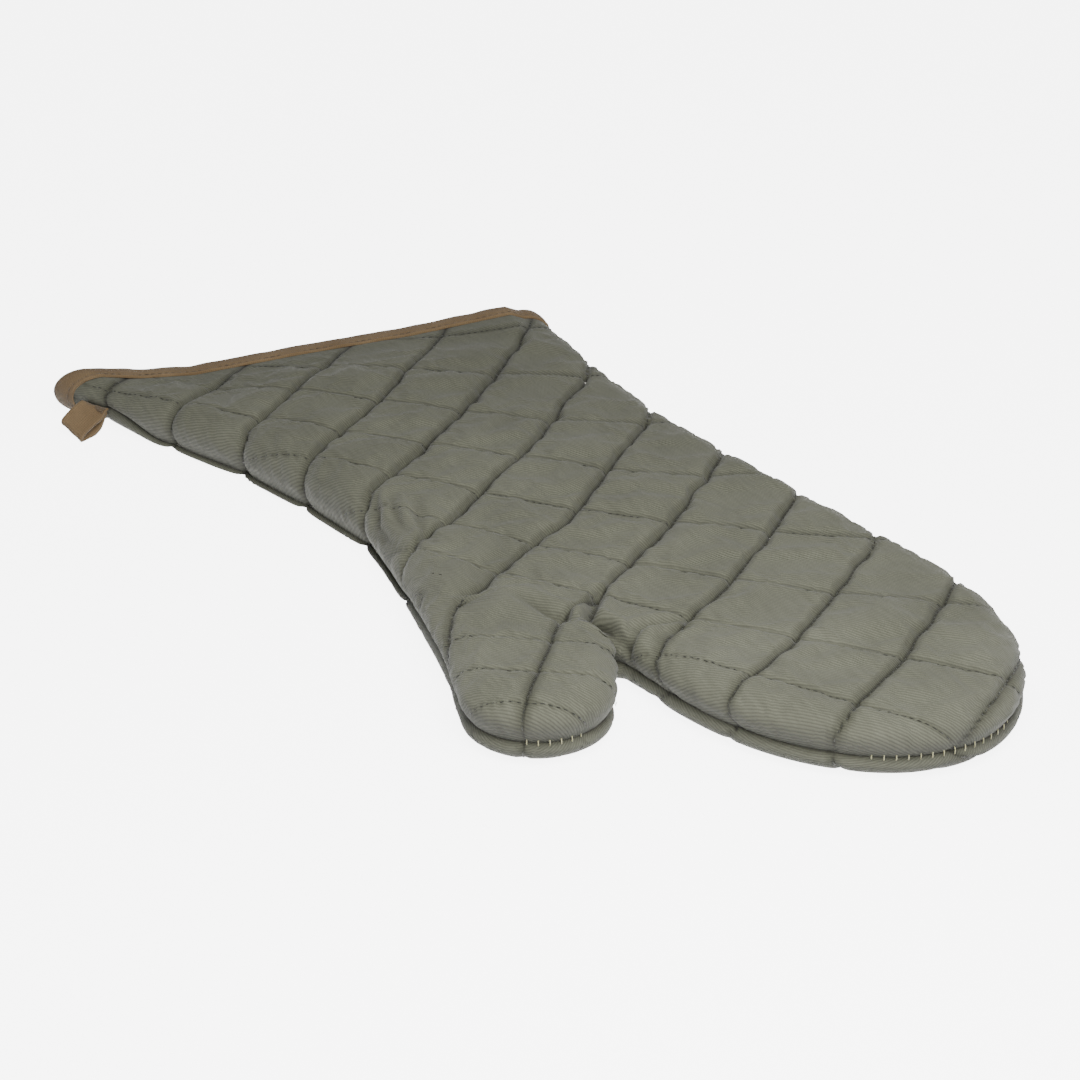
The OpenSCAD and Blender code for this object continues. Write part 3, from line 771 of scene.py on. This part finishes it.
def cloth_panel(side, word):
    """The outer cloth of one panel on each body. Returns its points and normals."""
    plan = FINE
    co, way, h, da, db = surface(plan, side)
    outer = co + way * h[:, None]
    if side > 0:
        outer = inflated(plan, outer, [plan.quads, plan.tris], da, db)
    if side < 0:
        outer[:, 2] = np.maximum(outer[:, 2], TABLE_GAP)
    inner = outer - way * layer_depths(plan.mouth)[0][:, None]
    normals = vertex_normals(outer, turned_over((plan.quads, plan.tris), side))
    # Painted shade for the twill: darkest on the first set's lines, less on the second's, and dark in the
    # side seam's groove and the upper panel's folds.
    painted_crease_shade = np.clip(np.minimum(da / 3.6, 0.32 + db / 2.6), 0, 1)
    painted_crease_shade = np.minimum(painted_crease_shade, 0.1 + plan.from_seam / 4)
    if side > 0:
        painted_crease_shade = np.minimum(painted_crease_shade, 1 - 0.9 * np.clip(fold_depth(plan.flat) / 3.4, 0, 1))
    extra = [("cloth", cloth_coordinates(plan, side)), ("painted_crease_shade", painted_crease_shade)]
    for body, what in enumerate(BODIES):
        obj = closed_layer(f"{what}_twill_{word}", plan, side, body, outer, inner, TWILL,
                           normals, -normals, extra)
        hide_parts(f"{what}_cloth_{word}")
        attach(obj, body)
    return outer, normals


def inner_panel(side, word):
    """The batting and lining of one panel on each body. The batting stays well under the cloth."""
    plan = COARSE
    co, way, h, _, _ = surface(plan, side)
    d1, d2, d3 = layer_depths(plan.mouth)
    soft = np.minimum(h, 0) - 1.6
    if side > 0:
        soft -= 1.3 * np.maximum(fold_depth(plan.flat, 2.0), 0)
    puff = 0.6 * np.clip(1 + h / 4, 0, 1) * fullness(plan.mouth)
    batting_out, batting_in, lining_out, lining_in = [
        co + way * out[:, None] for out in (np.maximum(soft - d1, 0.6 - d2), -(d2 + puff),
                                            -(d2 + LINING_GAP + puff), -(d3 + LINING_GAP + puff))]
    faces = turned_over((plan.quads, plan.tris), side)
    extra = [("cloth", cloth_coordinates(plan, side))]
    for kind, outer, inner, material in (("batting", batting_out, batting_in, BATTING_FLUFF),
                                         ("lining", lining_out, lining_in, LINING_CLOTH)):
        up, down = vertex_normals(outer, faces), -vertex_normals(inner, faces)
        for body, what in enumerate(BODIES):
            obj = closed_layer(f"{what}_inner_{kind}_{word}", plan, side, body, outer, inner, material,
                               up, down, extra)
            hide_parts(f"{what}_{kind}_{word}")
            attach(obj, body)


top_outer, top_normals = cloth_panel(1, "top")
bottom_outer, bottom_normals = cloth_panel(-1, "bottom")
inner_panel(1, "top")
inner_panel(-1, "bottom")


# ---------------- thread
SIDES = 6


def strands(name, runs, radius, materials, squash=0.7):
    """Short stitches as one mesh. Each run is (points, up, material index): a tube along the points,
    flattened towards up and narrowed at its two closed ends."""
    co, faces, slots = [], [], []
    for points, up, slot in runs:
        points = np.asarray(points, float)
        m = len(points)
        tangent = unit_rows(np.gradient(points, axis=0))
        across = unit_rows(np.cross(tangent, up))
        lift = np.cross(across, tangent)
        start, end = len(co), len(co) + m * SIDES
        for i in range(m):
            grow = 0.45 if i in (0, m - 1) else 1.0
            for k in range(SIDES):
                angle = 2 * math.pi * k / SIDES
                co.append(points[i] + radius * grow * (math.cos(angle) * across[i]
                                                       + squash * math.sin(angle) * lift[i]))
        co += [points[0], points[-1]]
        rim = [(k, (k + 1) % SIDES) for k in range(SIDES)]
        faces += [(a, b, b + SIDES, a + SIDES)
                  for i in range(m - 1) for a, b in np.add(rim, start + i * SIDES)]
        for a, b in rim:
            faces.append((start + b, start + a, end, end))
            faces.append((end - SIDES + a, end - SIDES + b, end + 1, end + 1))
        slots += [slot] * ((m + 1) * SIDES)
    faces, slots = np.array(faces), np.array(slots)
    triangle = faces[:, 2] == faces[:, 3]
    return new_object(name, np.array(co), [faces[~triangle], faces[triangle][:, :3]], materials,
                      slots=np.concatenate([slots[~triangle], slots[triangle]]))


# Gap in a line's crossings at which it ends, and the shortest line that is stitched
PATH_BREAK, SHORTEST_PATH = 5, 4


def quilting_paths(plan, co, normals, body):
    """Where the quilting lines run on one body's cloth: a list of (points, normals)."""
    edges = np.unique(np.sort(directed_edges(plan.of_body(body)), axis=1), axis=0)
    good = (plan.from_seam > 3.0) & (plan.mouth > 12) & ~plan.fan
    edges = edges[good[edges[:, 0]] & good[edges[:, 1]]]
    a, b = lattice(plan.flat)
    paths = []
    for value, along in ((a + 1e-5, b), (b + 1e-5, a)):
        e0, e1 = value[edges[:, 0]], value[edges[:, 1]]
        low, high = np.minimum(e0, e1), np.maximum(e0, e1)
        line = np.ceil(low)
        hit = (line <= high) & (high - low < 0.5)
        line, (start, end) = line[hit], edges[hit].T
        f = (line - value[start]) / (value[end] - value[start] + 1e-12)
        # each row: how far along the line in millimetres, point and normal
        rows = [np.column_stack([along[at] * CELL, co[at], normals[at]]) for at in (start, end)]
        rows = rows[0] * (1 - f)[:, None] + rows[1] * f[:, None]
        for number in np.unique(line):
            path = rows[line == number]
            path = path[np.argsort(path[:, 0])]
            for part in np.split(path, np.where(np.diff(path[:, 0]) > PATH_BREAK)[0] + 1):
                if len(part) > 3 and part[-1, 0] - part[0, 0] > SHORTEST_PATH:
                    paths.append((part[:, 1:4], part[:, 4:]))
    return paths


THREAD_R, STITCH_PITCH, STITCH_LENGTH, STITCH_LIFT = 0.25, 3.0, 2.1, 0.16


def stitches_along(paths, pitch, length, lift, seed):
    """Dashes of the given length along each path, one every pitch."""
    draw = np.random.RandomState(seed)
    arch = np.array([-0.12, 1, 1, -0.12])[:, None] * lift
    runs = []
    for p, n in paths:
        keep = np.concatenate([[True], np.linalg.norm(np.diff(p, axis=0), axis=1) > 0.05])
        p, n = p[keep], n[keep]
        s = lengths(p)
        at = draw.rand() * pitch
        while at + length < s[-1]:
            t = np.linspace(at, at + length, 4)
            up = unit_rows(sampled(t, s, n))
            q = sampled(t, s, p) + up * arch
            q[:, 2] = np.maximum(q[:, 2], THREAD_R)
            runs.append((q, up, 0))
            at += pitch * (0.94 + 0.12 * draw.rand())
    return runs


# Bits of white lint caught in the upper panel's stitching: body, lattice numbers and direction
LINT_AT = [(0, 5, 5, 20), (0, 6, 5, 75), (0, 7, 5, 40), (0, 7, 4, 10), (2, 6.8, 8, 150)]


def lint(co, normals, body):
    runs = []
    for a, b, turn in [bit[1:] for bit in LINT_AT if bit[0] == body]:
        at = lattice_point(np.array([float(a)]), np.array([float(b)]))[0]
        nearest = np.argmin(np.linalg.norm(FINE.flat - at, axis=1))
        up = normals[nearest]
        way = np.array([*turned(turn), 0.0])
        way = unit(way - up * (way @ up))
        bend = np.cross(up, way)
        runs.append(([co[nearest] + up * 0.45 + way * t + bend * 0.25 * t * t
                      for t in (-0.8, -0.2, 0.4, 0.9)], up, 1))
    return runs


for side, word, outer, normals in ((1, "top", top_outer, top_normals),
                                   (-1, "bottom", bottom_outer, bottom_normals)):
    for body, what in enumerate(BODIES):
        runs = stitches_along(quilting_paths(FINE, outer, normals, body), STITCH_PITCH, STITCH_LENGTH,
                              STITCH_LIFT, 50 + body)
        if side > 0:
            runs += lint(outer, normals, body)
        obj = strands(f"{what}_quilt_stitches_{word}", runs, THREAD_R, [QUILT_YARN, LINT])
        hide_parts(f"{what}_quilting_{word}")
        attach(obj, body)


# Where the seam gapes, so that its ladder of thread shows: middle in plan, and reach
GAPES = [((2, 246), 40), ((118, 172), 22)]
# Distance from one rung of the ladder to the next, and how deep it lies where the seam is shut
SEAM_PITCH, SEAM_SUNK = 4.6, 3.2


def seam_stitches():
    """Ladder of pale thread across the side seam, for each body."""
    corners = FINE.corners
    groups = [[], [], []]
    spans = [(0, corners[0] + 7, corners[1]), (1, corners[1], corners[2]), (2, corners[3], corners[4]),
             (0, corners[4], corners[5] - 7)]
    for body, first, last in spans:
        run, way = FINE.outline[first:last + 1], -FINE.columns[first:last + 1]
        s = lengths(run)
        for at in np.arange(2.5, s[-1] - 1, SEAM_PITCH):
            q, o = sampled(at, s, run), unit(sampled(at, s, way))
            gape = max(smooth((reach - math.dist(q, middle)) / 12) for middle, reach in GAPES)
            z0 = seam_height((q - o * EDGE_R)[None])[0]
            points = [(*(q - o * (x + SEAM_SUNK * (1 - gape))), z0 + z) for x, z in
                      ((3.2, -1.6), (2.4, -1.15), (2.25, 0), (2.4, 1.15), (3.2, 1.6))]
            groups[body].append((points, np.array([*o, 0.0]), 0))
    for body, what in enumerate(BODIES):
        obj = strands(f"{what}_seam_stitches", groups[body], 0.24, [SEAM_YARN], squash=0.9)
        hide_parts(f"{what}_seam_thread")
        attach(obj, body)


seam_stitches()


# ---------------- binding of the mouth
# Points across the mouth and round each of its ends, and how much the slanting thumb side widens the
# rounded edge there
RING_ACROSS, RING_EDGE, SKEW = 130, 9, 1.1
TOPSTITCH_PITCH, TOPSTITCH_LENGTH = 3.1, 2.3


def mouth_ring(m):
    """Points and outward directions round the mouth, m millimetres in from its edge, and how far
    across it they lie: over the upper panel from the little-finger side to the thumb side, then back
    under the lower one."""
    ends = []
    for side_curve in (PINKY_SIDE, CUFF_SIDE):
        c = curve(side_curve, np.linspace(-0.1, 0.3, 400))
        ends.append(sampled(m, (c - MOUTH_A) @ MOUTH_IN, c))
    left, w = ends[0], np.linalg.norm(ends[1] - ends[0])
    theta = np.radians(np.linspace(0, 90, RING_EDGE + 1))
    inset = EDGE_R * (1 - np.cos(theta))
    last = w - EDGE_R * SKEW
    straight = np.linspace(EDGE_R, last, RING_ACROSS)[1:-1]
    places = np.concatenate([inset, straight, w - SKEW * inset[::-1]])
    angle = np.concatenate([theta, np.full(len(straight), math.pi / 2), theta[::-1]])
    outwards = np.repeat([-1.0, 0.0, SKEW], [len(theta), len(straight), len(theta)])
    p = left + places[:, None] * MOUTH_DIR
    anchor = left + np.clip(places, EDGE_R, last)[:, None] * MOUTH_DIR
    rows = []
    for side in (1, -1):
        z = base(anchor, angle, np.full(len(p), float(m)), side)
        way = np.column_stack([(outwards * np.cos(angle))[:, None] * MOUTH_DIR, side * np.sin(angle)])
        s = slice(0, -1) if side > 0 else slice(None, 0, -1)
        rows.append((np.column_stack([p, z])[s], way[s], places[s]))
    return [np.concatenate([r[k] for r in rows]) for k in range(3)]


def binding():
    """Tape folded over both panels' edges. The profile is (distance in from the mouth, depth below
    the panel's outer surface), once round the tape's section."""
    profile = [(9.6, 0.1), (9.7, -0.5), (9.3, -1.0), (8.7, -1.15), (7.8, -1.0), (7.0, -1.15),
               (6.0, -1.35), (4.5, -1.4), (3, -1.35), (1.4, -1.2), (0.2, -0.95), (-0.7, -0.4), (-1.15, 0.5),
               (-1.25, 2.0), (-1.15, 3.5), (-0.7, 4.4), (0.2, 4.95), (1.4, 5.2), (3, 5.3), (6.2, 5.3),
               (8.6, 5.1), (9.4, 4.9), (9.6, 4.3), (9, 4.1), (5, 4.1), (0.4, 4.05), (0.0, 3.6),
               (0.0, 0.4), (0.4, -0.05), (5, 0.0), (9, 0.05)]
    rings, cloth = [], []
    for (m, depth), run in zip(profile, lengths(profile)):
        co, way, place = mouth_ring(m)
        ripple = 0.28 * np.sin(place / 3.1) + 0.3 * waves(co[:, :2], 61, 17)
        amount = ripple * (0.35 if -1.2 < depth < -0.6 else 0.2) * (depth < -0.3)
        ring = co - way * (depth - amount)[:, None]
        ring[:, 2] = np.maximum(ring[:, 2], 0.0)
        rings.append(ring)
        cloth.append(np.column_stack([lengths(co), np.full(len(co), run), np.zeros(len(co))]) / 1000)
    n, rows = len(rings[0]), len(rings)
    i, j = [k.ravel() for k in np.meshgrid(np.arange(n), np.arange(rows), indexing="ij")]
    here, above = j * n, (j + 1) % rows * n
    faces = np.stack([here + i, here + (i + 1) % n, above + (i + 1) % n, above + i], 1)
    obj = new_object("mouth_binding", np.vstack(rings), [faces], [TAPE],
                     attributes=[("cloth", np.vstack(cloth))])
    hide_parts("cuff_binding")
    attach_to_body(obj, "palm")
    # Topstitching on both panels, but not where it would lie on the table
    co, way, _ = mouth_ring(7.8)
    co = co + way * 1.05
    s = lengths(co)
    runs = []
    for at in np.arange(3.0, s[-1] - 4, TOPSTITCH_PITCH):
        q = sampled(np.linspace(at, at + TOPSTITCH_LENGTH, 4), s, co)
        up = unit(sampled(at, s, way))
        if q[:, 2].min() > 1.2:
            runs.append((q + up * np.array([-0.1, 0.12, 0.12, -0.1])[:, None], up, 0))
    obj = strands("binding_topstitch", runs, 0.26, [TAPE_YARN])
    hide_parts("binding_thread")
    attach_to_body(obj, "palm")


binding()


# ---------------- hang loop
LOOP_ROOT = curve(CUFF_SIDE, 0.077)[0]
LOOP_ALONG = unit(curve(CUFF_SIDE, 0.1)[0] - curve(CUFF_SIDE, 0.05)[0])
LOOP_OUT = np.array([LOOP_ALONG[1], -LOOP_ALONG[0]])


def from_root(x, y, z):
    p = LOOP_ROOT + x * LOOP_OUT + y * LOOP_ALONG
    return np.array([p[0], p[1], SEAM_Z + z])


def hang_loop():
    """Folded tape: out of the seam over the top, round the fold, and back underneath. The path is
    (distance out from the seam, height over the seam), and the tape leans down along the cuff."""
    path = np.array([[-3.5, -1.4], [-1.5, -1.0], [2.0, -1.3], [7.0, -2.6], [11.5, -4.4], [14.4, -6.2],
                     [14.5, -7.9], [12.0, -8.6], [7.0, -7.8], [2.0, -5.6], [-1.0, -3.6], [-3.5, -2.5]])
    middle, half, lean = 3.4, 6.2, 0.48
    count, across, thick = 90, 12, 1.3
    p = curve(path, np.linspace(0, 1, count))
    normal = unit_rows(np.gradient(p, axis=0))[:, ::-1] * [-1, 1]
    length = lengths(p)
    face = [(-half, 0.0), (0.15 - half, 0.5), (0.6 - half, 0.62)]
    face += [(x, 0.5 + 0.1 * math.cos(x)) for x in np.linspace(1.4 - half, half - 1.4, across)]
    face += [(half - 0.6, 0.62), (half - 0.15, 0.5)]
    section = face + [(-x, -h) for x, h in face]
    co, cloth = [], []
    for i in range(count):
        twist = 0.5 * math.sin(i / count * 5)
        free = smooth((p[i, 0] + 2.0) / 5.0)
        for y, h in section:
            x, z = p[i] + normal[i] * h * thick / 1.2
            z = max(z - lean * y * free, -SEAM_Z + 0.05)
            co.append(from_root(x, middle + y + twist, z))
            cloth.append((length[i] / 1000, y / 1000, 0))
    m = len(section)
    rim = [(k, (k + 1) % m) for k in range(m)]
    quads = [(i * m + a, (i + 1) * m + a, (i + 1) * m + b, i * m + b)
             for i in range(count - 1) for a, b in rim]
    co += [np.mean(co[:m], axis=0), np.mean(co[-m:], axis=0)]
    cloth += [cloth[0], cloth[-1]]
    last = (count - 1) * m
    ends = [(a, b, count * m) for a, b in rim] + [(last + b, last + a, count * m + 1) for a, b in rim]
    obj = new_object("hanging_loop", np.array(co), [np.array(quads), np.array(ends)], [TAPE],
                     attributes=[("cloth", np.array(cloth))])
    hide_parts("hang_loop")
    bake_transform(obj)
    # Dense zigzag across the tape's ends, along the seam
    zigzags, pitch, slant = 34, 0.35, 0.17
    runs = []
    for i in range(zigzags):
        y = middle - 5.8 + i * pitch
        x0, x1 = (-0.9, 0.9) if i % 2 else (-0.7, 1.1)
        points = [from_root(x0 - 0.3, y, -1.4), from_root(x0, y, -0.35),
                  from_root(x1, y + slant, -0.75), from_root(x1 + 0.3, y + slant, -1.7)]
        runs.append((points, np.array([0, 0, 1.0]), 0))
    obj = strands("loop_bartack_stitches", runs, 0.2, [TAPE_YARN], squash=0.9)
    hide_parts("loop_bartack")
    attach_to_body(obj, "palm")


hang_loop()

# ---------------- floor, light and camera
FLOOR, FLOOR_Z = 3000, -0.05
corners = [[x * FLOOR, y * FLOOR, FLOOR_Z] for x, y in ((-1, -1), (1, -1), (1, 1), (-1, 1))]
floor = new_object("floor", corners, [np.array([[0, 1, 2, 3]])], [])
paper = bpy.data.materials.new("pale_floor")
paper.use_nodes = True
for key, value in (("Base Color", (0.86, 0.86, 0.86, 1)), ("Roughness", 0.9),
                   ("Emission Color", (1, 1, 1, 1)), ("Emission Strength", 6.0)):
    paper.node_tree.nodes["Principled BSDF"].inputs[key].default_value = value
floor.data.materials.append(paper)
# The paper's own light is for its looks, and doesn't reach the mitt
floor.visible_diffuse = False

world = bpy.data.worlds.new("studio")
world.use_nodes = True
world.node_tree.nodes["Background"].inputs["Color"].default_value = (1, 1, 1, 1)
world.node_tree.nodes["Background"].inputs["Strength"].default_value = 0.15
bpy.context.scene.world = world


def placed(name, data, at, towards):
    """A light or camera at a point, looking in a direction."""
    obj = bpy.data.objects.new(name, data)
    obj.location = at
    obj.rotation_mode = "QUATERNION"
    obj.rotation_quaternion = towards.to_track_quat("-Z", "Y")
    bpy.context.scene.collection.objects.link(obj)
    return obj


def area_light(name, at, size, power):
    """A square light of this many watts that looks at the middle of the mitt."""
    data = bpy.data.lights.new(name, "AREA")
    data.size = size
    data.energy = power
    placed(name, data, at, -Vector(at))


area_light("key", (0.17, 0.45, 0.54), 0.45, 7.0)
area_light("fill", (-0.3, 0.4, 1.1), 1.2, 2.0)

camera_data = bpy.data.cameras.new("camera")
camera_data.sensor_width, camera_data.lens = 36, 100
camera_data.shift_x, camera_data.shift_y = -0.0324, -0.0306
camera_data.dof.use_dof = False
AZIMUTH, ELEVATION, DISTANCE = math.radians(148), math.radians(25.5), 1.2707
target = Vector(to_row([0, 0, 0]))
back = Vector((math.sin(AZIMUTH) * math.cos(ELEVATION), -math.cos(AZIMUTH) * math.cos(ELEVATION),
               math.sin(ELEVATION)))
camera_data.clip_start, camera_data.clip_end = 0.05, 50
bpy.context.scene.camera = placed("camera", camera_data, target + back * DISTANCE, -back)
